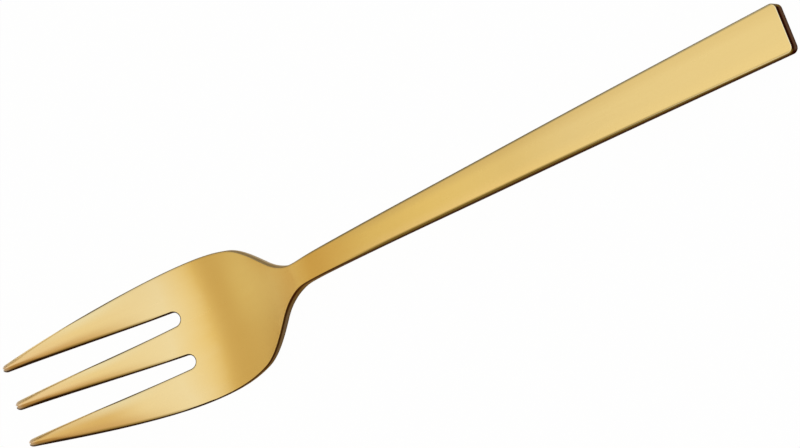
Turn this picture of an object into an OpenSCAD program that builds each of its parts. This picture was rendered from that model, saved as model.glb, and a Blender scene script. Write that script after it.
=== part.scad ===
// Three-tine pastry fork, pressed from one blank of stainless steel.
// X runs from the tips of the tines to the end of the handle, Y across the fork, Z up.
// The fork lies on its head and the end of its handle, and the origin is under its middle.
// Sizes called _x are distances along the fork from the tips, and heights called _h are
// those of the upper face above the table.

/* [Overall] */
// Length from the tips of the tines to the end of the handle
overall_l = 150; // [130:1:180]
// Height of the tines at their tips
tip_h = 17.5; // [12:0.1:20]

/* [Outline of the head] */
// Width over the two outer tines at their tips
tip_span = 14.35; // [12:0.05:17]
// Distance to the widest place of the head
widest_x = 29.5; // [28:0.5:33]
// Width at the widest place
head_w = 23.1; // [20:0.05:28]
// Distance to the shoulders, where the head starts to draw in
shoulder_x = 40.5; // [38:0.5:43]
// Width at the shoulders
shoulder_w = 20.5; // [18:0.05:23]
// Distance to the heel, where the sides draw in most steeply
heel_x = 48.2; // [46:0.1:51]
// Width at the heel
heel_w = 10; // [8:0.1:13]
// Distance to the narrowest place of the neck
neck_x = 57; // [54.5:0.5:60]
// Width at the narrowest place of the neck
neck_w = 4; // [3:0.02:6]
// Angle between the outer tines' outside edges and the centre line at the tips
flare_a = 11.6; // [6:0.1:13]
// Angle between the sides and the centre line at the shoulders
shoulder_a = 16; // [12:0.5:20]
// Angle between the sides and the centre line at the heel
heel_a = 40.5; // [38:0.5:50]

/* [Outline of the handle] */
// Width of the handle at its square-cut end
end_w = 8.1; // [6:0.05:12]
// Angle between the sides and the centre line at the neck
neck_flare_a = 1; // [0.5:0.1:2]
// Angle between the sides and the centre line at the end
end_flare_a = 1.3; // [0.5:0.1:2]
// Radius of the two corners of the end, seen from above
end_corner_r = 1; // [0.5:0.1:2]

/* [Tines and slots] */
// Distance to the centre of the slots' round ends
slot_x = 26.3; // [24:0.1:28]
// Width of a slot at its round end
slot_w = 2.45; // [2:0.05:3.2]
// Distance from the centre line to the centre of a slot's round end
slot_y = 3.8; // [3.4:0.02:4.6]
// Width of the middle tine at its tip
mid_tip_w = 1.45; // [1:0.05:2]
// Width of an outer tine at its tip
outer_tip_w = 1.15; // [0.9:0.05:2]
// Length over which the tips are rounded, seen from above
tip_round_l = 0.8; // [0.4:0.1:1.5]

/* [Side profile] */
// Angle below level of the tines at their tips
tip_a = 20; // [6:0.5:26]
// Distance to the steepest place of the tines
tine_x = 20; // [18:0.5:23]
// Height of the tines at their steepest place
tine_h = 6.3; // [5.5:0.05:8]
// Angle below level of the tines at their steepest place
tine_a = 30.5; // [24:0.5:34]
// Distance to the lowest place of the head
bottom_x = 36; // [34:0.1:39]
// Distance to the end of the rise behind the head, where it bends over into the handle
rise_x = 54; // [50:0.5:56]
// Height at the end of the rise
rise_h = 6.25; // [5.5:0.05:7.6]
// Angle above level at the end of the rise
rise_a = 25; // [14:0.5:30]
// Distance to the crest of the handle
crest_x = 66; // [62:0.5:76]
// Height of the crest
crest_h = 7.9; // [7.2:0.05:9.5]
// Distance to the middle of the handle's back
back_x = 100; // [90:1:115]
// Height at the middle of the handle's back
back_h = 6.4; // [5:0.05:7.4]
// Angle below level at the middle of the handle's back
back_a = 2.7; // [1:0.1:6]
// Angle below level at the end of the handle
end_a = 5; // [3:0.1:9]

/* [Thickness of the metal] */
// Thickness of the tines at their tips
tip_t = 1.4; // [1:0.05:2]
// Thickness of the head from the slots to its lowest place
head_t = 1.15; // [1:0.05:2]
// Thickness at the heel
heel_t = 1.25; // [0.9:0.05:2]
// Thickness at the neck
neck_t = 1.95; // [1.5:0.05:3]
// Thickness at the middle of the handle's back
back_t = 2.55; // [1.8:0.05:3.5]
// Thickness at the end of the handle
handle_t = 2.3; // [1.8:0.05:3.5]

/* [Dish of the head] */
// Height of the head's edges above its middle, where the dish is deepest
dish_h = 1.2; // [0:0.05:1.6]
// Distance to the deepest place of the dish
dish_x = 31; // [28:0.5:36]
// Length of the dish along the fork
dish_l = 50; // [40:1:54]

/* [Rounded edges] */
// Radius of the tines' edges at their tips
tip_edge_r = 0.5; // [0.2:0.05:0.6]
// Radius of the edges of the head and the handle
edge_r = 0.18; // [0.1:0.02:0.4]
// Depth of the bevel around the end of the handle
end_bevel = 0.18; // [0.1:0.02:0.4]

/* [Where the sections meet] */
// Distance to the plane between the head and the neck
head_cut_x = 52.5; // [51:0.5:54]
// Distance to the plane between the neck and the handle
handle_cut_x = 64; // [60:0.5:68]

/* [Hidden] */
GOLD = "#d9b25f";

// Steps along each section, across each face and round each edge
TINE_STEPS = 16;
HEAD_STEPS = 22;
NECK_STEPS = 12;
HANDLE_STEPS = 26;
TINE_FACE_STEPS = 4;
HEAD_FACE_STEPS = 10;
BAR_FACE_STEPS = 6;
EDGE_STEPS = 3;
CORNER_STEPS = 6;
// Share of the metal's thickness that is left at the very tips
BLUNT_SHARE = 0.6;
// Largest share of a section's width or thickness that an edge radius may take
EDGE_LIMIT_SHARE = 0.45;

// Height of the handle's end, which rests on its lower edge
end_h = handle_t * cos(end_a);

// The curves of the fork are stations [distance, value, angle], joined by cubics
OUTLINE = [
    [0, tip_span / 2, flare_a],
    [widest_x, head_w / 2, 0],
    [shoulder_x, shoulder_w / 2, -shoulder_a],
    [heel_x, heel_w / 2, -heel_a],
    [neck_x, neck_w / 2, neck_flare_a],
    [overall_l, end_w / 2, end_flare_a]
];
PROFILE = [
    [0, tip_h, -tip_a],
    [tine_x, tine_h, -tine_a],
    [bottom_x, head_t, 0],
    [rise_x, rise_h, rise_a],
    [crest_x, crest_h, 0],
    [back_x, back_h, -back_a],
    [overall_l, end_h, -end_a]
];
GAUGE = [
    [0, tip_t, 0],
    [slot_x, head_t, 0],
    [bottom_x, head_t, 0],
    [heel_x, heel_t, 0],
    [neck_x, neck_t, 0],
    [back_x, back_t, 0],
    [overall_l, handle_t, 0]
];
EDGES = [[0, tip_edge_r, 0], [slot_x, edge_r, 0], [overall_l, edge_r, 0]];

// A slot's round end closes half its width past its centre, where tines and head meet
slot_r = slot_w / 2;
root_x = slot_x + slot_r;
OUTER_SIDE = [[0, tip_span / 2 - outer_tip_w], [slot_x, slot_y + slot_r]];
MIDDLE_SIDE = [[0, mid_tip_w / 2], [slot_x, slot_y - slot_r]];

// Value of the cubic between stations a and b at distance x
function cubic(a, b, x) =
    let (l = b[0] - a[0], s = (x - a[0]) / l)
    a[1] * (1 + 2 * s) * pow(1 - s, 2) + b[1] * pow(s, 2) * (3 - 2 * s)
    + l * (tan(a[2]) * s * pow(1 - s, 2) - tan(b[2]) * pow(s, 2) * (1 - s));

// Slope of the cubic between stations a and b at distance x
function cubic_slope(a, b, x) =
    let (l = b[0] - a[0], s = (x - a[0]) / l)
    6 * s * (1 - s) * (b[1] - a[1]) / l
    + tan(a[2]) * (1 - s) * (1 - 3 * s) - tan(b[2]) * s * (2 - 3 * s);

// Index of the station that starts the piece of a curve in which x lies
function piece(curve, x) = max([for (i = [0:len(curve) - 2]) if (i == 0 || curve[i][0] < x) i]);
function along(curve, x) = let (i = piece(curve, x)) cubic(curve[i], curve[i + 1], x);
function slope(curve, x) = let (i = piece(curve, x)) cubic_slope(curve[i], curve[i + 1], x);
// Value at x on the straight line through two places
function straight(line, x) =
    let (a = line[0], b = line[1])
    a[1] + (b[1] - a[1]) * (x - a[0]) / (b[0] - a[0]);

// Depth of the dish at x: a smooth bump, zero from the ends of the dish outwards
function dish(x) = let (q = 2 * (x - dish_x) / dish_l) abs(q) < 1 ? dish_h * pow(1 - q * q, 2) : 0;

// Place in space of the point that lies y from the centre line and deep below the upper face at x
function place(x, y, deep) =
    let (a = atan(slope(PROFILE, x)), up = dish(x) * pow(y / along(OUTLINE, x), 2) - deep)
    [x - overall_l / 2 - up * sin(a), y, along(PROFILE, x) + up * cos(a)];

// Half width that the two rounded corners of the handle's end take off at x
function corner_cut(x) =
    let (run = max(x - (overall_l - end_corner_r), 0))
    end_corner_r - sqrt(pow(end_corner_r, 2) - pow(min(run, end_corner_r), 2));
function end_cut(x) = max(x - (overall_l - end_bevel), 0);
// Share of its width that a tine has at x, where its tip is rounded
function tip_share(x) = x < tip_round_l ? sqrt(1 - pow(1 - x / tip_round_l, 2)) : 1;
// Share of its half width that a slot has left at x, round its closed end
function slot_share(x) = x > slot_x ? sqrt(max(1 - pow((x - slot_x) / slot_r, 2), 0)) : 1;
// Sides of a slot at x: of the outer tine and of the middle one
function outer_side(x) = x > slot_x ? slot_y + slot_r * slot_share(x) : straight(OUTER_SIDE, x);
function middle_side(x) = x > slot_x ? slot_y - slot_r * slot_share(x) : straight(MIDDLE_SIDE, x);

// One ring of points across the fork at x, from low_y to high_y, with its four edges rounded
function ring(x, low_y, high_y, face_steps) =
    let (
        t = along(GAUGE, x),
        top = t * (1 - BLUNT_SHARE) * (1 - tip_share(x)) / 2 + end_cut(x),
        under = t - top,
        r = min(along(EDGES, x), EDGE_LIMIT_SHARE * (under - top), EDGE_LIMIT_SHARE * (high_y - low_y)),
        corners = [
            [low_y + r, top + r, 180], [high_y - r, top + r, 270],
            [high_y - r, under - r, 0], [low_y + r, under - r, 90]
        ]
    )
    [
        for (k = [0:3]) let (here = corners[k], next = corners[(k + 1) % 4]) each concat(
            [
                for (i = [0:EDGE_STEPS]) let (a = here[2] + 90 * i / EDGE_STEPS)
                    place(x, here[0] + r * cos(a), here[1] + r * sin(a))
            ],
            k % 2 == 1 ? [] : [
                for (j = [1:face_steps - 1])
                    place(x, here[0] + (next[0] - here[0]) * j / face_steps, k == 0 ? top : under)
            ]
        )
    ];

// Closed solid through a row of rings, with a flat face at each end
module loft(rings) {
    n = len(rings[0]);
    last = len(rings) - 1;
    points = [for (one = rings) each one];
    sides = [
        for (i = [0:last - 1], j = [0:n - 1]) let (a = i * n + j, b = i * n + (j + 1) % n)
            each [[a, b, b + n], [a, b + n, a + n]]
    ];
    first_face = [for (j = [0:n - 1]) n - 1 - j];
    last_face = [for (j = [0:n - 1]) last * n + j];
    polyhedron(points, concat(sides, [first_face, last_face]), convexity = 6);
}

function even(from, to, steps) = [for (i = [0:steps]) from + (to - from) * i / steps];
TINE_XS = concat(
    [for (i = [1:CORNER_STEPS - 1]) tip_round_l * (1 - cos(90 * i / CORNER_STEPS))],
    even(tip_round_l, slot_x, TINE_STEPS),
    [for (i = [1:CORNER_STEPS]) slot_x + slot_r * sin(90 * i / CORNER_STEPS)]
);
END_XS = [for (i = [0:CORNER_STEPS]) overall_l - end_corner_r * (1 - sin(90 * i / CORNER_STEPS))];

// Half width of a tine at x, drawn in at its rounded tip
function tip_half(x, low_y, high_y) = (high_y - low_y) / 2 * tip_share(x);

module outer_tine() {
    loft([
        for (x = TINE_XS) let (
            low = outer_side(x),
            high = along(OUTLINE, x),
            middle = (low + high) / 2,
            half_w = tip_half(x, low, high)
        ) ring(x, middle - half_w, middle + half_w, TINE_FACE_STEPS)
    ]);
}

module right_tine() {
    color(GOLD) outer_tine();
}

module left_tine() {
    color(GOLD) mirror([0, 1, 0]) outer_tine();
}

module middle_tine() {
    color(GOLD) loft([
        for (x = TINE_XS) let (half_w = tip_half(x, -middle_side(x), middle_side(x)))
            ring(x, -half_w, half_w, TINE_FACE_STEPS)
    ]);
}

module head() {
    color(GOLD) loft([
        for (x = even(root_x, head_cut_x, HEAD_STEPS)) let (half_w = along(OUTLINE, x))
            ring(x, -half_w, half_w, HEAD_FACE_STEPS)
    ]);
}

module neck() {
    color(GOLD) loft([
        for (x = even(head_cut_x, handle_cut_x, NECK_STEPS)) let (half_w = along(OUTLINE, x))
            ring(x, -half_w, half_w, BAR_FACE_STEPS)
    ]);
}

module handle() {
    xs = concat(even(handle_cut_x, overall_l - 2 * end_corner_r, HANDLE_STEPS), END_XS);
    color(GOLD) loft([
        for (x = xs) let (half_w = along(OUTLINE, x) - corner_cut(x))
            ring(x, -half_w, half_w, BAR_FACE_STEPS)
    ]);
}

handle();
neck();
head();
left_tine();
middle_tine();
right_tine();
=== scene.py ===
"""A three-tine pastry fork in satin gold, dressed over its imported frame.

The fork is modelled as it is made. A flat blank is drawn as a sheet of quads, its edge is
extruded into a rounded rim, and the whole blank is pressed to the fork's side profile and
dish. The blank is drawn in millimetres, with X running from the tips of the tines to the
end of the handle; the pressed fork is in metres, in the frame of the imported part.
"""

from __future__ import annotations

import logging
import math
from dataclasses import dataclass, field
from enum import Enum

import bmesh
import bpy
import numpy as np
from mathutils import Matrix, Vector


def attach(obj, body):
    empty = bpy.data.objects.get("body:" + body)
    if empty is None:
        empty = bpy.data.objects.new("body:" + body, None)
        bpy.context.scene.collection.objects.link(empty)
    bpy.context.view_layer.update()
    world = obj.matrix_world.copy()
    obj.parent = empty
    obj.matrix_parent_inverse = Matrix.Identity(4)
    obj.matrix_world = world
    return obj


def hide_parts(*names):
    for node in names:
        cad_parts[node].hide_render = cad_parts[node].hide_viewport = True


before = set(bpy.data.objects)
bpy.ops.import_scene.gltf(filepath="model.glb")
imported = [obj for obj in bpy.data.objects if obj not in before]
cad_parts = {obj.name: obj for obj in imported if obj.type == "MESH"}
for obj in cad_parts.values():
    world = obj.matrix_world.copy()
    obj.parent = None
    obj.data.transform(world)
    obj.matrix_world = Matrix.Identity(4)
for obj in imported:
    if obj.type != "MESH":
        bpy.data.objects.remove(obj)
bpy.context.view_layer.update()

log = logging.getLogger("pastry_fork")
MM = 0.001

Colour = tuple[float, float, float]
Triple = tuple[float, float, float]


@dataclass(frozen=True)
class Station:
    """A place that one of the fork's curves passes through.

    Sizes are in millimetres: how far it is from the tips, the value there, and the
    curve's angle in degrees.
    """

    x: float
    value: float
    angle: float = 0.0


@dataclass(frozen=True)
class StationCurve:
    """A smooth curve along the fork, made of cubics between its stations."""

    stations: tuple[Station, ...]

    def _pieces(self, x: np.ndarray) -> tuple[np.ndarray, ...]:
        """Finds the cubic that each place lies on.

        Args:
            x: Distances from the tips.

        Returns:
            The share of the piece passed, its length, its two values and its two slopes.
        """
        xs = np.array([s.x for s in self.stations])
        values = np.array([s.value for s in self.stations])
        slopes = np.tan(np.radians([s.angle for s in self.stations]))
        i = np.clip(np.searchsorted(xs, x, side="left") - 1, 0, len(xs) - 2)
        length = xs[i + 1] - xs[i]
        share = (x - xs[i]) / length
        return share, length, values[i], values[i + 1], slopes[i], slopes[i + 1]

    def value(self, x: np.ndarray) -> np.ndarray:
        """Gives the curve's value at each distance x."""
        s, length, a, b, ta, tb = self._pieces(np.asarray(x, dtype=float))
        ends = a * (1 + 2 * s) * (1 - s) ** 2 + b * s**2 * (3 - 2 * s)
        return ends + length * (ta * s * (1 - s) ** 2 - tb * s**2 * (1 - s))

    def slope(self, x: np.ndarray) -> np.ndarray:
        """Gives the curve's slope at each distance x."""
        s, length, a, b, ta, tb = self._pieces(np.asarray(x, dtype=float))
        chord = 6 * s * (1 - s) * (b - a) / length
        return chord + ta * (1 - s) * (1 - 3 * s) - tb * s * (2 - 3 * s)


class Strip(Enum):
    """The sheets of quads that the blank is put together from."""

    RIGHT_TINE = "right_tine"
    MIDDLE_TINE = "middle_tine"
    LEFT_TINE = "left_tine"
    BODY = "body"


@dataclass
class Layout:
    """Where the vertices of one sheet go, by row along the fork and column across it.

    The places are in millimetres, and the outward ways are those of the open edge. Across
    goes from -1 to 1 over a tine, whose half width is half; on the body they are 0 and 1.
    """

    x: np.ndarray
    y: np.ndarray
    out_x: np.ndarray
    out_y: np.ndarray
    across: np.ndarray
    half: np.ndarray


@dataclass
class ForkBlank:
    """The flat blank that the fork is pressed from, with its sizes in millimetres."""

    overall_l: float = 150.0
    tip_span: float = 14.35
    widest_x: float = 29.5
    head_w: float = 23.1
    shoulder_x: float = 40.5
    shoulder_w: float = 20.5
    shoulder_a: float = 16.0
    heel_x: float = 48.2
    heel_w: float = 10.0
    heel_a: float = 40.5
    neck_x: float = 57.0
    neck_w: float = 4.0
    neck_flare_a: float = 1.0
    end_w: float = 8.1
    end_flare_a: float = 1.3
    flare_a: float = 11.6
    end_corner_r: float = 1.0
    slot_x: float = 26.3
    slot_w: float = 2.45
    slot_y: float = 3.8
    mid_tip_w: float = 1.45
    outer_tip_w: float = 1.15
    tip_round_l: float = 0.8
    tip_t: float = 1.4
    head_t: float = 1.15
    bottom_x: float = 36.0
    heel_t: float = 1.25
    neck_t: float = 1.95
    back_x: float = 100.0
    back_t: float = 2.55
    handle_t: float = 2.3
    tip_edge_r: float = 0.5
    edge_r: float = 0.18
    blunt_share: float = 0.6
    skin: float = 0.008
    crown_h: float = 0.15
    crown_l: float = 22.0
    crown_share: float = 0.4
    rim_share: float = 0.45
    tine_columns: int = 8
    nose_rows: int = 6
    tine_rows: int = 42
    slot_rows: int = 10
    head_rows: int = 64
    handle_rows: int = 76
    corner_rows: int = 6
    rim_steps: int = 5

    def __post_init__(self) -> None:
        """Draws the blank's outline, its thickness and the radius of its edges."""
        self.outline = StationCurve((
            Station(0, self.tip_span / 2, self.flare_a),
            Station(self.widest_x, self.head_w / 2),
            Station(self.shoulder_x, self.shoulder_w / 2, -self.shoulder_a),
            Station(self.heel_x, self.heel_w / 2, -self.heel_a),
            Station(self.neck_x, self.neck_w / 2, self.neck_flare_a),
            Station(self.overall_l, self.end_w / 2, self.end_flare_a),
        ))
        self.gauge = StationCurve((
            Station(0, self.tip_t),
            Station(self.slot_x, self.head_t),
            Station(self.bottom_x, self.head_t),
            Station(self.heel_x, self.heel_t),
            Station(self.neck_x, self.neck_t),
            Station(self.back_x, self.back_t),
            Station(self.overall_l, self.handle_t),
        ))
        self.edges = StationCurve((
            Station(0, self.tip_edge_r),
            Station(self.slot_x, self.edge_r),
            Station(self.overall_l, self.edge_r),
        ))
        self.slot_r = self.slot_w / 2

    def outer_side(self, x: np.ndarray) -> np.ndarray:
        """Gives the outer tines' inner side at x, before the slot's round end."""
        tip = self.tip_span / 2 - self.outer_tip_w
        return tip + (self.slot_y + self.slot_r - tip) * x / self.slot_x

    def middle_side(self, x: np.ndarray) -> np.ndarray:
        """Gives the middle tine's side at x, before the slots' round ends."""
        tip = self.mid_tip_w / 2
        return tip + (self.slot_y - self.slot_r - tip) * x / self.slot_x

    def _tine_places(self) -> tuple[np.ndarray, np.ndarray, np.ndarray]:
        """Lays out the rows of a tine.

        Returns:
            The rows' distances from the tips, the turn round the nose in degrees (90 past
            it) and the turn round the slot's end in degrees (90 before it).
        """
        nose_turn = np.linspace(0, 90, self.nose_rows + 1)
        slot_turn = np.linspace(90, 0, self.slot_rows + 1)
        reach = self.tip_round_l - self.tip_edge_r
        end_r = self.slot_r + self.edge_r
        nose = self.tip_round_l - reach * np.cos(np.radians(nose_turn))
        middle = np.linspace(self.tip_round_l, self.slot_x, self.tine_rows + 1)[1:-1]
        end = self.slot_x + end_r * np.cos(np.radians(slot_turn))
        x = np.concatenate([nose, middle, end])
        turns = np.full(len(x), 90.0)
        nose_turns, slot_turns = turns.copy(), turns.copy()
        nose_turns[: len(nose)] = nose_turn
        slot_turns[-len(end) :] = slot_turn
        return x, nose_turns, slot_turns

    def _strip(self, x: np.ndarray, low: np.ndarray, high: np.ndarray, columns: int) -> Layout:
        """Spreads columns evenly between two sides.

        Args:
            x: The rows' distances from the tips.
            low: The lower side at each row.
            high: The higher side at each row.
            columns: The number of faces across.

        Returns:
            The vertices, with the way outwards at the two sides.
        """
        share = np.linspace(0, 1, columns + 1)[None, :]
        y = low[:, None] * (1 - share) + high[:, None] * share
        out_y = np.zeros_like(y)
        out_y[:, 0], out_y[:, -1] = -1, 1
        across = np.repeat(2 * share - 1, len(x), axis=0)
        half = np.repeat((high - low)[:, None] / 2, columns + 1, axis=1)
        along = np.repeat(x[:, None], columns + 1, axis=1)
        return Layout(along, y, np.zeros_like(y), out_y, across, half)

    def tine(self, which: Strip) -> Layout:
        """Lays out one tine, a rim's width inside its outline.

        Args:
            which: The tine that is wanted.

        Returns:
            The tine's vertices, with the way outwards at its sides, nose and slot.
        """
        x, nose, slot = self._tine_places()
        r = self.edges.value(x)
        inner_r = self.slot_r + r
        arc = x > self.slot_x
        turn = np.radians(slot)
        if which is Strip.MIDDLE_TINE:
            side = np.where(arc, self.slot_y - inner_r * np.sin(turn), self.middle_side(x) - r)
            low, high = -side, side
        else:
            low = np.where(arc, self.slot_y + inner_r * np.sin(turn), self.outer_side(x) + r)
            high = self.outline.value(x) - r - self.skin
        middle, half = (low + high) / 2, (high - low) / 2
        half = half * np.sin(np.radians(nose))
        strip = self._strip(x, middle - half, middle + half, self.tine_columns)
        for column, sign in ((0, -1), (-1, 1)):
            strip.out_x[:, column] = -np.cos(np.radians(nose))
            strip.out_y[:, column] = sign * np.sin(np.radians(nose))
            if column == 0 or which is Strip.MIDDLE_TINE:
                strip.out_x[:, column] -= np.cos(turn)
                strip.out_y[arc, column] = sign * np.sin(turn[arc])
        if which is Strip.LEFT_TINE:
            return Layout(strip.x, -strip.y, strip.out_x, -strip.out_y, -strip.across, strip.half)
        return strip

    def body(self) -> Layout:
        """Lays out the head, neck and handle as one sheet, a rim's width inside their outline.

        Returns:
            The body's vertices, with the way outwards at its sides, its end and the slots.
        """
        start = self.slot_x + self.slot_r + self.edge_r
        corner_x = self.overall_l - self.end_corner_r - self.skin
        corner = np.linspace(0, 90, self.corner_rows + 1)
        corner_in = self.end_corner_r - self.edge_r
        x = np.concatenate([
            np.linspace(start, self.neck_x, self.head_rows + 1),
            np.linspace(self.neck_x, corner_x, self.handle_rows + 1)[1:],
            corner_x + corner_in * np.sin(np.radians(corner[1:])),
        ])
        turn = np.zeros(len(x))
        turn[-len(corner) :] = corner
        cut = corner_in * (1 - np.cos(np.radians(turn)))
        half = self.outline.value(x) - self.skin - self.edge_r - cut
        outer = np.linspace(self.slot_y, half[0], self.tine_columns + 1)
        middle = np.linspace(-self.slot_y, self.slot_y, self.tine_columns + 1)
        across = np.concatenate([-outer[::-1], middle[1:-1], outer]) / half[0]
        y = half[:, None] * across[None, :]
        out_x, out_y = np.zeros_like(y), np.zeros_like(y)
        out_y[:, 0], out_y[:, -1] = -np.cos(np.radians(turn)), np.cos(np.radians(turn))
        out_x[:, 0] = out_x[:, -1] = np.sin(np.radians(turn))
        out_x[-1, :], out_y[-1, :] = 1, 0
        for column in (self.tine_columns, 2 * self.tine_columns):
            out_x[0, column] = -1
        along = np.repeat(x[:, None], y.shape[1], axis=1)
        return Layout(along, y, out_x, out_y, np.zeros_like(y), np.ones_like(y))

    def layout(self, which: Strip) -> Layout:
        """Gives the layout of any of the blank's sheets."""
        return self.body() if which is Strip.BODY else self.tine(which)


@dataclass
class Press:
    """The press that gives the blank its side profile and dish, with its sizes in millimetres."""

    blank: ForkBlank
    tip_h: float = 17.5
    tip_a: float = 20.0
    tine_x: float = 20.0
    tine_h: float = 6.3
    tine_a: float = 30.5
    rise_x: float = 54.0
    rise_h: float = 6.25
    rise_a: float = 25.0
    crest_x: float = 66.0
    crest_h: float = 7.9
    back_h: float = 6.4
    back_a: float = 2.7
    end_a: float = 5.0
    dish_h: float = 1.2
    dish_x: float = 31.0
    dish_l: float = 50.0
    probe: float = 0.01

    def __post_init__(self) -> None:
        """Draws the side profile of the upper face."""
        end_h = self.blank.handle_t * math.cos(math.radians(self.end_a))
        self.profile = StationCurve((
            Station(0, self.tip_h, -self.tip_a),
            Station(self.tine_x, self.tine_h, -self.tine_a),
            Station(self.blank.bottom_x, self.blank.head_t),
            Station(self.rise_x, self.rise_h, self.rise_a),
            Station(self.crest_x, self.crest_h),
            Station(self.blank.back_x, self.back_h, -self.back_a),
            Station(self.blank.overall_l, end_h, -self.end_a),
        ))

    def place(self, flat: np.ndarray) -> np.ndarray:
        """Presses points of the blank.

        Args:
            flat: Points of the blank in millimetres, with the upper face at Z 0.

        Returns:
            The same points of the pressed fork, in metres, in the part's frame.
        """
        x, y = flat[:, 0], flat[:, 1]
        half_t = self.blank.gauge.value(x) / 2
        nose = np.sin(np.clip(x / self.blank.tip_round_l, 0, 1) * math.pi / 2)
        kept = 1 - (1 - self.blank.blunt_share) * (1 - nose)
        up = (flat[:, 2] + half_t) * (kept - self.blank.skin / half_t) - half_t
        q = np.clip(2 * (x - self.dish_x) / self.dish_l, -1, 1)
        lift = self.dish_h * (1 - q * q) ** 2 * (y / self.blank.outline.value(x)) ** 2 + up
        angle = np.arctan(self.profile.slope(x))
        along = x - self.blank.overall_l / 2 - lift * np.sin(angle)
        return np.stack([along, y, self.profile.value(x) + lift * np.cos(angle)], axis=1) * MM

    def turn(self, flat: np.ndarray, ways: np.ndarray) -> np.ndarray:
        """Turns the blank's outward directions as the press turns its surface.

        Args:
            flat: Points of the blank in millimetres.
            ways: The direction out of the metal at each point.

        Returns:
            Unit directions out of the metal of the pressed fork.
        """
        columns = []
        for axis in range(3):
            shift = np.zeros(3)
            shift[axis] = self.probe
            moved = self.place(flat + shift) - self.place(flat - shift)
            columns.append(moved / (2 * self.probe * MM))
        stretch = np.stack(columns, axis=2)
        turned = np.linalg.solve(np.transpose(stretch, (0, 2, 1)), ways[:, :, None])[:, :, 0]
        return turned / np.linalg.norm(turned, axis=1, keepdims=True)


@dataclass(frozen=True)
class Ease:
    """A smooth step: to_low up to the place low, and to_high from the place high."""

    low: float
    high: float
    to_low: float = 0.0
    to_high: float = 1.0


class Socket:
    """A node's output that takes part in Python arithmetic, each step of which adds a node."""

    def __init__(self, graph: "Graph", link: bpy.types.NodeSocket) -> None:
        """Wraps a socket of the graph's material."""
        self.graph = graph
        self.link = link

    def _math(self, operation: str, *values: "Socket | float") -> "Socket":
        """Adds a Math node that works on numbers."""
        return self.graph.node("ShaderNodeMath", {"operation": operation}, dict(enumerate(values)))

    def __add__(self, other: "Socket | float") -> "Socket":
        """Adds."""
        return self._math("ADD", self, other)

    def __radd__(self, other: float) -> "Socket":
        """Adds to a number."""
        return self._math("ADD", other, self)

    def __sub__(self, other: "Socket | float") -> "Socket":
        """Subtracts."""
        return self._math("SUBTRACT", self, other)

    def __rsub__(self, other: float) -> "Socket":
        """Subtracts from a number."""
        return self._math("SUBTRACT", other, self)

    def __mul__(self, other: "Socket | float") -> "Socket":
        """Multiplies."""
        return self._math("MULTIPLY", self, other)

    def __rmul__(self, other: float) -> "Socket":
        """Multiplies a number."""
        return self._math("MULTIPLY", other, self)

    def ease(self, step: Ease) -> "Socket":
        """Follows a smooth step as the value rises.

        Args:
            step: The step to follow.

        Returns:
            The step's value.
        """
        return self.graph.node(
            "ShaderNodeMapRange", {"interpolation_type": "SMOOTHSTEP"},
            {
                "Value": self, "From Min": step.low, "From Max": step.high,
                "To Min": step.to_low, "To Max": step.to_high,
            },
        )


class Graph:
    """The node tree of one material."""

    def __init__(self, name: str) -> None:
        """Starts a material with an empty node tree.

        Args:
            name: The material's name.
        """
        self.material = bpy.data.materials.new(name)
        self.material.use_nodes = True
        self.tree = self.material.node_tree
        self.tree.nodes.clear()

    def node(
        self, kind: str, settings: dict | None = None, values: dict | None = None,
        output: int | str = 0,
    ) -> Socket:
        """Adds a node.

        Args:
            kind: The node's type.
            settings: The node's own settings, set before its sockets.
            values: Numbers, colours or links for its input sockets, by name or number.
            output: The output that is wanted.

        Returns:
            The wanted output.
        """
        made = self.tree.nodes.new(kind)
        for name, value in (settings or {}).items():
            if name == "stops":
                ramp = made.color_ramp.elements
                for index, (place, colour) in enumerate(value):
                    stop = ramp[index] if index < 2 else ramp.new(place)
                    stop.position, stop.color = place, (*colour, 1)
            else:
                setattr(made, name, value)
        for key, value in (values or {}).items():
            if isinstance(value, Socket):
                self.tree.links.new(value.link, made.inputs[key])
            else:
                made.inputs[key].default_value = value
        return Socket(self, made.outputs[output])

    def attribute(self, name: str, output: str = "Fac") -> Socket:
        """Reads one of the piece's own attributes."""
        return self.node("ShaderNodeAttribute", {"attribute_name": name}, output=output)

    def blend(self, share: "Socket | float", first: object, second: object) -> Socket:
        """Mixes two colours."""
        values = {0: share, 6: first, 7: second}
        return self.node("ShaderNodeMix", {"data_type": "RGBA"}, values, output=2)

    def tinge(self, share: "Socket | float", under: Socket, tint: Colour) -> Socket:
        """Mixes a plain colour over another."""
        return self.blend(share, under, (*tint, 1))

    def stretch(self, vector: Socket, by: Triple) -> Socket:
        """Stretches a vector along its axes."""
        return self.node("ShaderNodeVectorMath", {"operation": "MULTIPLY"}, {0: vector, 1: by})

    def noise(self, vector: Socket, scale: float, detail: float, roughness: float = 0.5) -> Socket:
        """Adds a noise pattern, about 0.5 on average.

        Args:
            vector: The place.
            scale: How many lumps there are to a unit of length.
            detail: How many finer layers it has.
            roughness: How strong the finer layers are.

        Returns:
            The noise at that place.
        """
        return self.node(
            "ShaderNodeTexNoise", {"noise_dimensions": "3D"},
            {"Vector": vector, "Scale": scale, "Detail": detail, "Roughness": roughness},
        )

    def bump(self, height: Socket, distance: float, under: Socket | None = None) -> Socket:
        """Adds relief to the surface's normal.

        Args:
            height: The relief, from 0 to 1.
            distance: What 1 stands for, in metres.
            under: The relief that it's laid over.

        Returns:
            The normal.
        """
        values = {"Strength": 1.0, "Distance": distance, "Height": height}
        if under is not None:
            values["Normal"] = under
        return self.node("ShaderNodeBump", None, values, output="Normal")

    def finish(self, surface: Socket) -> bpy.types.Material:
        """Puts the surface on the material's output and gives the material back."""
        end = self.tree.nodes.new("ShaderNodeOutputMaterial")
        self.tree.links.new(surface.link, end.inputs["Surface"])
        return self.material


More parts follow.
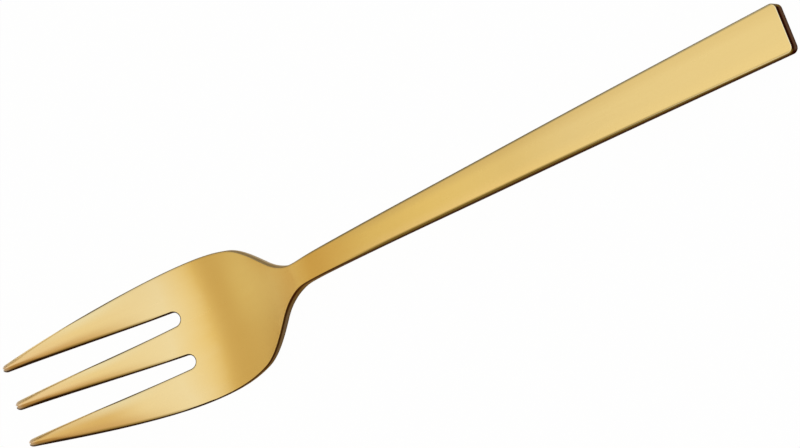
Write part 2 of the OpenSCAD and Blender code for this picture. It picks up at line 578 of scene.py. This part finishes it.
@dataclass(frozen=True)
class SatinGold:
    """A satin, gold-coloured film on brushed steel, with light and shade painted into its colour:
    painted shade and painted reflections on the cut edges, a painted highlight along some edges,
    and painted light and shade along the fork and across the tines and handle.

    A step whose name ends in x follows the distance from the tips in millimetres, and
    left_tine_y the distance to the left of the centre line. The others follow the mesh's
    attribute that their name ends in, or its negative where they deal with the left.
    """

    # Film colours along the fork: partly gold tone, partly painted shade (tips, head, neck) and
    # painted light (slot ends, handle).
    tip_shade_gold: Colour = (0.82, 0.56, 0.25)
    nose_gold: Colour = (0.74, 0.55, 0.36)
    tine_gold: Colour = (0.85, 0.62, 0.25)
    slot_light_gold: Colour = (0.88, 0.695, 0.345)
    head_shade_gold: Colour = (0.86, 0.586, 0.172)
    heel_gold: Colour = (0.90, 0.66, 0.235)
    neck_shade_gold: Colour = (0.83, 0.52, 0.13)
    handle_light_gold: Colour = (0.94, 0.68, 0.21)
    end_gold: Colour = (0.855, 0.64, 0.255)
    # Painted light on the right of each tine and painted shade on its left.
    tine_right_light: Colour = (0.86, 0.76, 0.45)
    tine_left_shade: Colour = (0.62, 0.36, 0.11)
    left_deep: Colour = (0.70, 0.43, 0.12)
    shade_gold: Colour = (0.74, 0.52, 0.185)
    lit_gold: Colour = (0.98, 0.71, 0.26)
    # Painted shade along the right rims of the upper face.
    rim_shade_gold: Colour = (0.30, 0.25, 0.12)
    # Painted shade along the left rims of the upper face.
    rolled_rim_shade_gold: Colour = (0.22, 0.135, 0.02)
    # Painted highlight along the edges towards the handle's end.
    edge_highlight_gold: Colour = (0.98, 0.88, 0.58)
    # Cut-edge colours, all painted: the darks are painted shade; the reflection bands, olive, pale
    # and left-wall colours are painted reflections.
    edge_dark: Colour = (0.030, 0.016, 0.008)
    edge_reflection_band: Colour = (0.125, 0.092, 0.085)
    heel_dark: Colour = (0.085, 0.045, 0.018)
    heel_reflection_band: Colour = (0.27, 0.19, 0.12)
    line_olive: Colour = (0.22, 0.17, 0.09)
    heel_olive: Colour = (0.42, 0.34, 0.22)
    heel_pale: Colour = (0.75, 0.66, 0.52)
    left_wall_reflection: Colour = (0.25, 0.18, 0.045)
    edge_glance: Colour = (0.42, 0.30, 0.16)
    roughness: float = 0.30
    grain_rough: float = 0.10
    streak_rough: float = 0.08
    edge_rough: float = 0.08
    grain_height: float = 0.0000016
    dimple_height: float = 0.000004
    cloud_stretch: Triple = (0.05, 0.16, 0.16)
    grain_stretch: Triple = (0.35, 11.0, 11.0)
    streak_stretch: Triple = (0.04, 2.4, 2.4)
    dimple_scale: float = 0.9
    length: float = 150.0
    hand_shift: float = 3.0
    cloud_shift: float = 5.0
    nose_x: Ease = Ease(0.2, 1.6, 1.0, 0.0)
    tines_x: Ease = Ease(9, 27, 1.0, 0.0)
    bar_x: Ease = Ease(62, 76)
    left_tine_y: Ease = Ease(3, 8)
    left_tine_x: Ease = Ease(11, 19, 0.9, 0.0)
    tine_light_hand: Ease = Ease(0.0, 1.1)
    tine_light_x: Ease = Ease(7, 18, 0.2, 1.0)
    tine_shade_hand: Ease = Ease(0.0, 1.0)
    shade_hand: Ease = Ease(0.2, 1.0)
    shade_x: Ease = Ease(105, 135, 0.75, 0.45)
    lit_hand: Ease = Ease(0.2, 0.9)
    lit_x: Ease = Ease(88, 125, 1.0, 0.2)
    rim_hand: Ease = Ease(0.2, 0.6)
    line_inset: Ease = Ease(-0.05, 0.30, 1.0, 0.0)
    line_bar_x: Ease = Ease(54, 66, 0.3, 1.0)
    line_tine_x: Ease = Ease(12, 18)
    roll_inset: Ease = Ease(-0.10, 0.32, 1.0, 0.0)
    roll_nose_x: Ease = Ease(5, 12, 0.0, 0.8)
    roll_slot_x: Ease = Ease(20, 27, 1.0, 0.0)
    roll_end_x: Ease = Ease(120, 142, 1.0, 0.5)
    heel_in_x: Ease = Ease(28, 40)
    heel_out_x: Ease = Ease(56, 66)
    bar_left_side: Ease = Ease(0.4, 0.9)
    bar_left_x: Ease = Ease(62, 74)
    bar_left_depth: Ease = Ease(0.02, 0.44, 1.0, 0.0)
    band_top_depth: Ease = Ease(0.22, 0.50)
    band_foot_depth: Ease = Ease(0.75, 0.98)
    band_x: Ease = Ease(26, 36)
    olive_depth: Ease = Ease(0.3, 0.8)
    olive_side: Ease = Ease(0.05, 0.4)
    right_side: Ease = Ease(0.0, 0.3)
    left_side: Ease = Ease(0.0, 0.6)
    slot_end_gain: float = 1.5
    slot_end_in_x: Ease = Ease(23, 26)
    slot_end_out_x: Ease = Ease(27.5, 29, 1.0, 0.0)
    cut_right_x: Ease = Ease(6, 18, -0.9, 0.3)
    cut_left_x: Ease = Ease(0.5, 6, 0.55, 0.22)
    cut_nose_x: Ease = Ease(0.6, 1.8, 0.95, 0.0)
    cut_end_x: Ease = Ease(130, 146, 0.0, 0.2)
    cut_wall: Ease = Ease(0.12, 0.45)
    edge_highlight_wall: Ease = Ease(0.0, 0.1)
    edge_highlight_x: Ease = Ease(100, 146)
    edge_highlight_left: float = 0.8

    def _stops(self) -> tuple[tuple[float, Colour], ...]:
        """Gives the film's colours along the fork: partly its own gold tone and partly painted
        light and shade, with painted shade on the tips, the bottom of the head and the neck, and
        painted light at the slot ends and on the handle.

        Returns:
            The share of the fork's length at which each colour lies, and the colour.
        """
        places = (
            (3, self.tip_shade_gold), (13, self.tine_gold), (25, self.slot_light_gold),
            (33, self.head_shade_gold), (48, self.heel_gold), (59, self.neck_shade_gold),
            (72, self.handle_light_gold), (84, self.handle_light_gold), (112, self.end_gold),
        )
        return tuple((x / self.length, colour) for x, colour in places)

    def _film(self, g: Graph, blank: Socket, hand: Socket, inset: Socket, clouds: Socket) -> Socket:
        """Colours the film and paints light and shade into it. Along the fork it is darker on the
        tips, head and neck and paler at the slot ends and on the handle, partly as painted shade
        and painted light. Across each tine and the handle one side has painted light and the other
        painted shade, and painted shade lines run along the rims of the upper face.

        Args:
            g: The material's nodes.
            blank: The place on the flat blank, in millimetres.
            hand: How far across its tine or the body a point is, from -1 on the left to 1.
            inset: The distance in from the rounded edge, in millimetres.
            clouds: A slow noise that varies the film.

        Returns:
            The film's colour.
        """
        x, y = (g.node("ShaderNodeSeparateXYZ", None, {0: blank}, output=axis) for axis in "XY")
        left_hand = -1.0 * hand
        across = hand * x.ease(self.tines_x)
        along = x + self.hand_shift * across + self.cloud_shift * (clouds - 0.5)
        ramp = {"stops": self._stops()}
        colour = g.node("ShaderNodeValToRGB", ramp, {"Fac": along * (1 / self.length)})
        left_tine = (-1.0 * y).ease(self.left_tine_y) * x.ease(self.left_tine_x)
        colour = g.tinge(left_tine, colour, self.left_deep)
        # Painted light on the right of each tine and painted shade on its left, fading out towards
        # the slots.
        colour = g.tinge(across.ease(self.tine_light_hand) * x.ease(self.tine_light_x), colour, self.tine_right_light)
        colour = g.tinge((-1.0 * across).ease(self.tine_shade_hand), colour, self.tine_left_shade)
        bar = x.ease(self.bar_x)
        shade = hand.ease(self.shade_hand) * bar * x.ease(self.shade_x)
        colour = g.tinge(shade, colour, self.shade_gold)
        lit = left_hand.ease(self.lit_hand) * bar * x.ease(self.lit_x)
        colour = g.tinge(lit, colour, self.lit_gold)
        # Painted shade: a dark line along the right rim of the upper face, from past the tines'
        # tips, strongest along the handle.
        line = inset.ease(self.line_inset) * hand.ease(self.rim_hand) * x.ease(self.line_bar_x)
        colour = g.tinge(line * x.ease(self.line_tine_x), colour, self.rim_shade_gold)
        # Painted shade along the left rim of the upper face, on the tines and along the handle,
        # weaker at its end.
        roll = inset.ease(self.roll_inset) * left_hand.ease(self.rim_hand)
        tine_roll = x.ease(self.roll_nose_x) * x.ease(self.roll_slot_x)
        roll = roll * (tine_roll + bar * x.ease(self.roll_end_x))
        colour = g.tinge(roll, colour, self.rolled_rim_shade_gold)
        return g.tinge(x.ease(self.nose_x), colour, self.nose_gold)

    def _edge(self, g: Graph, x: Socket, side: Socket, depth: Socket) -> Socket:
        """Colours the cut edge with painted shade and painted reflections: a dark line with a
        lighter painted reflection band under it, a dark olive line on right-facing walls that turns
        olive to pale at the heel, and a gold painted reflection at the top of the handle's left
        wall.

        Args:
            g: The material's nodes.
            x: The distance from the tips in millimetres.
            side: The way the edge faces: 1 to the right, -1 to the left, 0 elsewhere.
            depth: The share of the metal's thickness above a point.

        Returns:
            The edge's colour.
        """
        heel = x.ease(self.heel_in_x) * (1 - x.ease(self.heel_out_x))
        left = (-1.0 * side).ease(self.bar_left_side) * x.ease(self.bar_left_x)
        band = depth.ease(self.band_top_depth) * (1 - depth.ease(self.band_foot_depth))
        band = band * x.ease(self.band_x) * (1 - left)
        dark = g.blend(heel, (*self.edge_dark, 1), (*self.heel_dark, 1))
        reflection_band = g.blend(heel, (*self.edge_reflection_band, 1), (*self.heel_reflection_band, 1))
        low = g.blend(depth.ease(self.olive_depth), (*self.heel_olive, 1), (*self.heel_pale, 1))
        olive = g.blend(heel, (*self.line_olive, 1), low)
        colour = g.blend(side.ease(self.olive_side), g.blend(band, dark, reflection_band), olive)
        return g.tinge(depth.ease(self.bar_left_depth) * left, colour, self.left_wall_reflection)

    def _cut(self, x: Socket, wall: Socket, right: Socket, left: Socket) -> Socket:
        """Finds where the film gives way to the cut edge's painted shade.

        Args:
            x: The distance from the tips in millimetres.
            wall: How steep the edge is, from 0 on the faces to 1.
            right: Whether the edge faces right, from 0 to 1.
            left: Whether the edge faces left, from 0 to 1.

        Returns:
            The share of the cut edge, from 0 to 1.
        """
        slot_end = x.ease(self.slot_end_in_x) * x.ease(self.slot_end_out_x)
        cut = wall * (1 + self.slot_end_gain * slot_end)
        cut = cut + right * x.ease(self.cut_right_x) - left * x.ease(self.cut_left_x)
        cut = cut - x.ease(self.cut_nose_x) * (1 - left) - x.ease(self.cut_end_x)
        return cut.ease(self.cut_wall)

    def material(self) -> bpy.types.Material:
        """Builds the film's material.

        Returns:
            The material, which reads the attributes that the fork's mesh carries.
        """
        g = Graph("satin_gold")
        blank = g.attribute("blank", "Vector")
        wall, side, depth, hand, inset = (
            g.attribute(name) for name in ("wall", "side", "depth", "hand", "inset")
        )
        x = g.node("ShaderNodeSeparateXYZ", None, {0: blank}, output="X")
        clouds = g.noise(g.stretch(blank, self.cloud_stretch), 1.0, detail=3.0)
        grain = g.noise(g.stretch(blank, self.grain_stretch), 1.0, detail=4.0, roughness=0.6)
        streaks = g.noise(g.stretch(blank, self.streak_stretch), 1.0, detail=3.0)
        dimples = g.noise(blank, self.dimple_scale, detail=2.0)
        right, left = side.ease(self.right_side), (-1.0 * side).ease(self.left_side)
        # Painted highlight: a pale line where the upper face meets the edge, towards the handle's
        # end, full on the end, weaker on the left and none on the right.
        edge_highlight = wall.ease(self.edge_highlight_wall) * x.ease(self.edge_highlight_x)
        edge_highlight = edge_highlight * (1 - right) * (1 - self.edge_highlight_left * left)
        rough = self.roughness + self.grain_rough * (grain - 0.5)
        rough = rough + self.streak_rough * (streaks - 0.5)
        relief = g.bump(dimples, self.dimple_height, under=g.bump(grain, self.grain_height))
        film = g.tinge(edge_highlight, self._film(g, blank, hand, inset, clouds), self.edge_highlight_gold)
        metal = {"Metallic": 1.0, "Normal": relief}
        face = g.node(
            "ShaderNodeBsdfPrincipled", None, {**metal, "Base Color": film, "Roughness": rough}
        )
        # The cut edges' painted shade and painted reflections, with a dark tint on their glancing
        # reflection as well.
        rim = g.node(
            "ShaderNodeBsdfPrincipled", None,
            {
                **metal, "Base Color": self._edge(g, x, side, depth),
                "Roughness": rough + self.edge_rough, "Specular Tint": (*self.edge_glance, 1),
            },
        )
        cut = self._cut(x, wall, right, left)
        return g.finish(g.node("ShaderNodeMixShader", None, {0: cut, 1: face, 2: rim}))


@dataclass
class PastryFork:
    """The whole fork: one smooth piece of metal that stands for all six sections of the frame."""

    blank: ForkBlank = field(default_factory=ForkBlank)
    finish: SatinGold = field(default_factory=SatinGold)
    name: str = "pastry_fork"
    sections: tuple[str, ...] = ("handle", "neck", "head", "left_tine", "middle_tine", "right_tine")
    slot: str = "satin_gold"
    merge_gap: float = 0.0006
    least_half: float = 0.1

    def __post_init__(self) -> None:
        """Sets up the press for this blank."""
        self.press = Press(self.blank)

    @staticmethod
    def _vectors(data: bpy.types.bpy_prop_collection, name: str) -> np.ndarray:
        """Reads one vector for each vertex.

        Args:
            data: The mesh's vertices, or one attribute's data.
            name: The name of the vector's property.

        Returns:
            The vectors, one to a row.
        """
        values = np.empty(len(data) * 3)
        data.foreach_get(name, values)
        return values.reshape(-1, 3)

    def _sheet(self, which: Strip) -> bpy.types.Object:
        """Adds a grid and draws it to the shape of one of the blank's sheets.

        Args:
            which: The sheet that is wanted.

        Returns:
            The sheet, which keeps its plan in attributes for the steps that follow.
        """
        plan = self.blank.layout(which)
        rows, columns = plan.x.shape[0] - 1, plan.x.shape[1] - 1
        bpy.ops.object.select_all(action="DESELECT")
        bpy.ops.mesh.primitive_grid_add(
            x_subdivisions=rows, y_subdivisions=columns, size=1, location=(0, 0, 0), calc_uvs=False
        )
        sheet = bpy.context.active_object
        sheet.name = f"sheet_{which.value}"
        mesh = sheet.data
        grid = self._vectors(mesh.vertices, "co")
        i = np.rint((grid[:, 0] + 0.5) * rows).astype(int)
        j = np.rint((grid[:, 1] + 0.5) * columns).astype(int)
        zero = np.zeros(len(i))
        drawn = np.stack([plan.x[i, j], plan.y[i, j], zero], axis=1)
        mesh.vertices.foreach_set("co", drawn.ravel())
        kept = {
            "outward": np.stack([plan.out_x[i, j], plan.out_y[i, j], zero], axis=1),
            "base": drawn,
            "crown": np.stack([plan.across[i, j], plan.half[i, j], zero], axis=1),
        }
        for name, values in kept.items():
            layer = mesh.attributes.new(name, "FLOAT_VECTOR", "POINT")
            layer.data.foreach_set("vector", values.ravel())
        mesh.attributes.new("blank_way", "FLOAT_VECTOR", "POINT")
        return sheet

    def _set_rim(self, sheet: bpy.types.Object, turn: float, under: bool) -> None:
        """Extrudes the open edge by one step round the rim.

        Args:
            sheet: The blank, in edit mode, with its open edge selected.
            turn: How far round the edge's quarter circle the step ends, in degrees.
            under: Whether the quarter circle is that of the lower face.
        """
        bpy.ops.mesh.extrude_region_move()
        work = bmesh.from_edit_mesh(sheet.data)
        layers = work.verts.layers.float_vector
        outward, base, way = layers["outward"], layers["base"], layers["blank_way"]
        moved = [v for v in work.verts if v.select]
        x = np.array([v[base].x for v in moved])
        radius, gauge = self.blank.edges.value(x), self.blank.gauge.value(x)
        sine, cosine = math.sin(math.radians(turn)), math.cos(math.radians(turn))
        for vert, r, t in zip(moved, radius, gauge):
            r = float(min(r, self.blank.rim_share * t))
            deep = r * (1 - cosine)
            vert.co = vert[base] + vert[outward] * (r * sine)
            vert.co.z = -(float(t) - deep) if under else -deep
            upward = -cosine if under else cosine
            vert[way] = vert[outward] * sine + Vector((0, 0, upward))
        bmesh.update_edit_mesh(sheet.data)

    def _cut_blank(self) -> bpy.types.Object:
        """Puts the blank together: its upper sheet, the rim round it and its lower sheet.

        Returns:
            The closed blank, flat, in millimetres.
        """
        sheets = [self._sheet(which) for which in Strip]
        bpy.ops.object.select_all(action="DESELECT")
        for sheet in sheets:
            sheet.select_set(True)
        bpy.context.view_layer.objects.active = sheets[-1]
        bpy.ops.object.join()
        blank = bpy.context.active_object
        blank.name = blank.data.name = self.name
        bpy.ops.object.mode_set(mode="EDIT")
        bpy.ops.mesh.select_mode(type="VERT")
        bpy.ops.mesh.select_all(action="SELECT")
        bpy.ops.mesh.remove_doubles(threshold=self.merge_gap)
        bpy.ops.mesh.normals_make_consistent(inside=False)
        work = bmesh.from_edit_mesh(blank.data)
        if sum(face.normal.z for face in work.faces) < 0:
            bpy.ops.mesh.flip_normals()
        work = bmesh.from_edit_mesh(blank.data)
        way = work.verts.layers.float_vector["blank_way"]
        for vert in work.verts:
            vert[way] = Vector((0, 0, 1))
        bmesh.update_edit_mesh(blank.data)
        bpy.ops.mesh.select_all(action="SELECT")
        bpy.ops.mesh.duplicate()
        bpy.ops.mesh.flip_normals()
        work = bmesh.from_edit_mesh(blank.data)
        way = work.verts.layers.float_vector["blank_way"]
        lower = [vert for vert in work.verts if vert.select]
        for vert, t in zip(lower, self.blank.gauge.value(np.array([v.co.x for v in lower]))):
            vert.co.z = -float(t)
            vert[way] = Vector((0, 0, -1))
        bmesh.update_edit_mesh(blank.data)
        bpy.ops.mesh.hide(unselected=False)
        bpy.ops.mesh.select_mode(type="EDGE")
        bpy.ops.mesh.select_all(action="DESELECT")
        bpy.ops.mesh.select_non_manifold(
            extend=False, use_wire=False, use_boundary=True, use_multi_face=False,
            use_non_contiguous=False, use_verts=False,
        )
        turns = np.linspace(0, 90, self.blank.rim_steps + 1)
        for turn in turns[1:]:
            self._set_rim(blank, float(turn), under=False)
        for turn in turns[::-1]:
            self._set_rim(blank, float(turn), under=True)
        bpy.ops.mesh.reveal(select=False)
        bpy.ops.mesh.select_mode(type="VERT")
        bpy.ops.mesh.select_all(action="SELECT")
        bpy.ops.mesh.remove_doubles(threshold=self.merge_gap)
        bpy.ops.mesh.normals_make_consistent(inside=False)
        bpy.ops.object.mode_set(mode="OBJECT")
        return blank

    def _press_blank(self, fork: bpy.types.Object) -> None:
        """Presses the blank and keeps what the material reads of it as attributes.

        Args:
            fork: The closed blank, flat, in millimetres.
        """
        mesh, blank = fork.data, self.blank
        flat = self._vectors(mesh.vertices, "co")
        ways = self._vectors(mesh.attributes["blank_way"].data, "vector")
        across, half, _ = self._vectors(mesh.attributes["crown"].data, "vector").T
        x, y, z = flat[:, 0], flat[:, 1], flat[:, 2]
        gauge, outer = blank.gauge.value(x), blank.outline.value(x)
        tine = x < blank.slot_x + blank.slot_r
        hand = np.where(tine, across, y / outer)
        inset = np.where(tine, (1 - abs(across)) * half, outer - abs(y) - blank.edge_r)
        drop = blank.crown_h * np.clip(1 - x / blank.crown_l, 0, 1)
        drop = drop * np.clip(1 + 2 * z / gauge, 0, 1)
        drop = np.minimum(drop, blank.crown_share * half)
        flat[:, 2] -= drop * across**2
        ways[:, 1] += 2 * drop * across / half.clip(self.least_half)
        ways /= np.linalg.norm(ways, axis=1, keepdims=True)
        normals = self.press.turn(flat, ways)
        read = {
            "wall": np.hypot(ways[:, 0], ways[:, 1]), "side": ways[:, 1],
            "depth": -z / gauge, "hand": hand, "inset": np.maximum(inset, 0),
        }
        for name, values in read.items():
            mesh.attributes.new(name, "FLOAT", "POINT").data.foreach_set("value", values)
        place = mesh.attributes.new("blank", "FLOAT_VECTOR", "POINT")
        place.data.foreach_set("vector", flat.ravel())
        mesh.vertices.foreach_set("co", self.press.place(flat).ravel())
        for name in ("outward", "base", "blank_way", "crown"):
            mesh.attributes.remove(mesh.attributes[name])
        mesh.update()
        mesh.shade_smooth()
        mesh.normals_split_custom_set_from_vertices([tuple(n) for n in normals])

    def build(self) -> bpy.types.Object:
        """Makes the fork, dresses it and ties it to the frame.

        Returns:
            The finished fork.
        """
        fork = self._cut_blank()
        self._press_blank(fork)
        fork.data.materials.clear()
        fork.data.materials.append(self.finish.material())
        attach(fork, "root")
        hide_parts(*self.sections)
        return fork


@dataclass
class Studio:
    """The plain pale floor, soft light and camera of the photograph."""

    floor_r: float = 3.0
    floor_sides: int = 96
    paper: float = 0.9
    floor_white: float = 0.98
    cove_h: float = 0.4
    cove_steps: int = 6
    box_size: tuple[float, float] = (0.88, 0.95)
    box_place: Triple = (0.18, 0.29, 0.60)
    box_aim: Triple = (0.18, 0.29, 0.0)
    box_glow: float = 1.0
    box_tint: Colour = (0.34, 0.44, 0.62)
    fill_size: tuple[float, float] = (0.22, 1.40)
    fill_place: Triple = (-0.95, 0.10, 0.11)
    fill_aim: Triple = (0.0, 0.0, 0.0)
    fill_glow: float = 1.0
    fill_tint: Colour = (0.14, 0.215, 0.26)
    room: Colour = (0.66, 0.57, 0.42)
    camera_place: Triple = (0.29986, -0.10131, 0.46049)
    camera_right: Triple = (0.74577, -0.35049, -0.56655)
    camera_down: Triple = (-0.39172, -0.91858, 0.05263)
    focal_px: float = 3514.7
    image_px: float = 800.0
    sensor_w: float = 36.0
    clip: tuple[float, float] = (0.01, 50.0)

    def floor(self) -> bpy.types.Object:
        """Lays a pale round floor under the fork, which curves up at its far edge.

        Returns:
            The floor.
        """
        bpy.ops.object.select_all(action="DESELECT")
        bpy.ops.mesh.primitive_circle_add(
            vertices=self.floor_sides, radius=self.floor_r, fill_type="NGON", location=(0, 0, 0)
        )
        floor = bpy.context.active_object
        floor.name = "floor"
        bpy.ops.object.mode_set(mode="EDIT")
        bpy.ops.mesh.select_all(action="SELECT")
        bpy.ops.mesh.region_to_loop()
        turns = [math.radians(90 * step / self.cove_steps) for step in range(self.cove_steps + 1)]
        reach = [self.floor_r + self.cove_h * math.sin(turn) for turn in turns]
        for step in range(self.cove_steps):
            rise = self.cove_h * (math.cos(turns[step]) - math.cos(turns[step + 1]))
            grow = reach[step + 1] / reach[step]
            bpy.ops.mesh.extrude_region_move(TRANSFORM_OT_translate={"value": (0, 0, rise)})
            bpy.ops.transform.resize(value=(grow, grow, 1), center_override=(0, 0, 0))
        bpy.ops.object.mode_set(mode="OBJECT")
        g = Graph("pale_floor")
        paper = g.node("ShaderNodeBsdfDiffuse", None, {"Color": (*[self.paper] * 3, 1)})
        white = g.node("ShaderNodeEmission", None, {"Color": (1, 1, 1, 1), "Strength": 1.0})
        seen = g.node("ShaderNodeLightPath", output="Is Camera Ray")
        mirrored = g.node("ShaderNodeLightPath", output="Is Glossy Ray")
        passed = g.node("ShaderNodeLightPath", output="Is Transmission Ray")
        share = self.floor_white * (seen + mirrored + passed)
        shade = g.node("ShaderNodeMixShader", None, {0: share, 1: paper, 2: white})
        floor.data.materials.append(g.finish(shade))
        return floor

    def _panel(
        self, name: str, size: tuple[float, float], place: Triple, aim: Triple,
        glow: float, tint: Colour,
    ) -> bpy.types.Object:
        """Hangs one soft light panel.

        Args:
            name: The panel's name.
            size: Its two lengths in metres.
            place: Where its middle hangs.
            aim: The place that it faces.
            glow: How bright its face is.
            tint: The colour of its light.

        Returns:
            The panel.
        """
        lamp = bpy.data.lights.new(name, "AREA")
        lamp.shape, lamp.size, lamp.size_y = "RECTANGLE", *size
        lamp.energy = glow * math.pi * size[0] * size[1]
        lamp.color = tint
        holder = bpy.data.objects.new(name, lamp)
        holder.location = place
        holder.rotation_euler = (Vector(aim) - Vector(place)).to_track_quat("-Z", "Y").to_euler()
        bpy.context.scene.collection.objects.link(holder)
        return holder

    def lights(self) -> None:
        """Hangs a big soft panel over the fork and a low, weak one beyond its tines."""
        self._panel(
            "soft_box", self.box_size, self.box_place, self.box_aim, self.box_glow, self.box_tint
        )
        self._panel(
            "low_fill", self.fill_size, self.fill_place, self.fill_aim, self.fill_glow,
            self.fill_tint,
        )

    def world(self) -> None:
        """Surrounds the set with even, slightly warm light."""
        world = bpy.data.worlds.new("studio")
        world.use_nodes = True
        world.node_tree.nodes["Background"].inputs["Color"].default_value = (*self.room, 1)
        bpy.context.scene.world = world

    def camera(self) -> bpy.types.Object:
        """Sets up the camera at the photograph's place and angle.

        Returns:
            The camera.
        """
        right = Vector(self.camera_right).normalized()
        up = -Vector(self.camera_down)
        up = (up - right * up.dot(right)).normalized()
        back = right.cross(up)
        lens = bpy.data.cameras.new("camera")
        lens.sensor_fit, lens.sensor_width = "HORIZONTAL", self.sensor_w
        lens.lens = self.focal_px * self.sensor_w / self.image_px
        lens.clip_start, lens.clip_end = self.clip
        camera = bpy.data.objects.new("camera", lens)
        turned = Matrix((right, up, back)).transposed().to_4x4()
        camera.matrix_world = Matrix.Translation(self.camera_place) @ turned
        bpy.context.scene.collection.objects.link(camera)
        bpy.context.scene.camera = camera
        return camera

    def build(self) -> tuple[bpy.types.Object, ...]:
        """Sets up the whole studio.

        Returns:
            The floor and the camera.
        """
        floor = self.floor()
        self.lights()
        self.world()
        return floor, self.camera()


def main() -> None:
    """Builds the fork and its studio."""
    logging.basicConfig(level=logging.INFO)
    bpy.context.scene.view_settings.view_transform = "Standard"
    fork = PastryFork().build()
    log.info("%s: %d faces", fork.name, len(fork.data.polygons))
    for piece in Studio().build():
        log.info("%s: stage", piece.name)
    bpy.context.view_layer.update()


if __name__ == "__main__":
    main()
